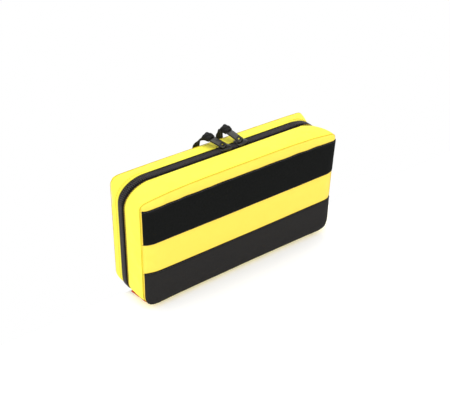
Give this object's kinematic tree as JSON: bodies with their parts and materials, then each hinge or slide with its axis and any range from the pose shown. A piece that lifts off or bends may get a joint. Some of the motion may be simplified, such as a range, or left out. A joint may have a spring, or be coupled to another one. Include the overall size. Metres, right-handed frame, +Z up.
{
  "type": "first aid kit",
  "caption": "Soft rectangular zip-around first aid pouch with loop strips on its front, twin zip sliders with pulls, padded trays and held contents.",
  "frame": {"origin": "middle of the footprint on the surface it stands on, at the base of the bounding box", "axes": "+Z up, X along the pouch's length, -Y towards the front panel with the loop strips"},
  "size_m": [0.2838, 0.0722, 0.1705],
  "materials": {
    "shell": "yellow coated nylon weave, satin sheen",
    "foam": "closed-cell foam padding",
    "lining": "thin woven nylon lining",
    "binding": "grosgrain binding tape",
    "loop_pile": "black napped loop pile",
    "zip_tape": "black ribbed woven tape",
    "zip_coil": "moulded nylon coil",
    "zip_metal": "gunmetal plated zinc, worn on the edges",
    "red_tape": "red woven tape",
    "mesh": "knitted mesh",
    "elastic": "ribbed elastic webbing",
    "bandage": "crepe weave",
    "gauze": "open cotton gauze",
    "plaster_tape": "zinc oxide tape",
    "core": "moulded plastic",
    "steel": "satin ground steel",
    "paper_packet": "laminated paper wrapper",
    "film_packet": "heat-sealed film wrapper"
  },
  "bodies": {
    "base": {"base_outer_panel": "shell", "base_foam_panel": "foam", "base_lining_panel": "lining", "base_gusset": "shell", "base_gusset_foam": "foam", "base_gusset_lining": "lining", "base_seam_binding": "binding", "base_zip_tape": "zip_tape", "base_zip_coil": "zip_coil", "base_zip_stops": "zip_metal", "bottom_hinge": "shell", "upper_loop_strip": "loop_pile", "lower_loop_strip": "loop_pile", "red_side_tab": "red_tape", "wide_bandage_roll": "bandage", "narrow_bandage_roll": "bandage", "adhesive_tape_roll": "plaster_tape", "tape_roll_core": "core", "gauze_roll": "gauze", "roll_elastic_band": "elastic", "scissors_patch": "lining", "scissors_fixed_half": "steel", "scissors_rivet": "steel", "scissors_loop": "elastic", "tweezers": "steel", "sling_packet": "film_packet", "glove_packet": "film_packet", "wipes_packet": "paper_packet"},
    "scissors_arm": {"scissors_moving_half": "steel"},
    "lid": {"lid_outer_panel": "shell", "lid_foam_panel": "foam", "lid_lining_panel": "lining", "lid_gusset": "shell", "lid_gusset_foam": "foam", "lid_gusset_lining": "lining", "lid_seam_binding": "binding", "lid_zip_tape": "zip_tape", "lid_zip_coil": "zip_coil", "lid_zip_stops": "zip_metal", "lid_mesh_pocket": "mesh", "pocket_elastic": "elastic", "dressing_packet": "paper_packet", "plaster_packet": "paper_packet"},
    "left_slider": {"left_slider_body": "zip_metal", "left_crown": "zip_metal"},
    "left_pull": {"left_pull_tab": "zip_metal", "left_pull_hitch": "zip_tape", "left_pull_tail": "zip_tape"},
    "right_slider": {"right_slider_body": "zip_metal", "right_crown": "zip_metal"},
    "right_pull": {"right_pull_tab": "zip_metal", "right_pull_hitch": "zip_tape", "right_pull_tail": "zip_tape"}
  },
  "joints": [
    {"name": "lid_hinge", "type": "hinge", "parent": "base", "child": "lid", "pos_m": [0, 0.0095, -0.0003], "axis": [-1, 0, 0], "range_deg": [0, 180], "deforming": ["bottom_hinge"]},
    {"name": "left_slider_travel", "type": "slide", "parent": "lid", "child": "left_slider", "axis": [-1, 0, 0], "range_m": [0, 0.086], "deforming": ["base_zip_coil"]},
    {"name": "right_slider_travel", "type": "slide", "parent": "lid", "child": "right_slider", "axis": [1, 0, 0], "range_m": [0, 0.062], "deforming": ["lid_zip_coil"]},
    {"name": "left_pull_swing", "type": "hinge", "parent": "left_slider", "child": "left_pull", "pos_m": [0, 0.0095, 0.1526], "axis": [0.8387, 0.5446, 0], "range_deg": [0, 118]},
    {"name": "right_pull_swing", "type": "hinge", "parent": "right_slider", "child": "right_pull", "pos_m": [0.024, 0.0095, 0.1526], "axis": [0.8387, 0.5446, 0], "range_deg": [0, 118]},
    {"name": "scissors_pivot", "type": "hinge", "parent": "base", "child": "scissors_arm", "pos_m": [-0.06, -0.022, 0.084], "axis": [0, 1, 0], "range_deg": [0, 25]}
  ]
}
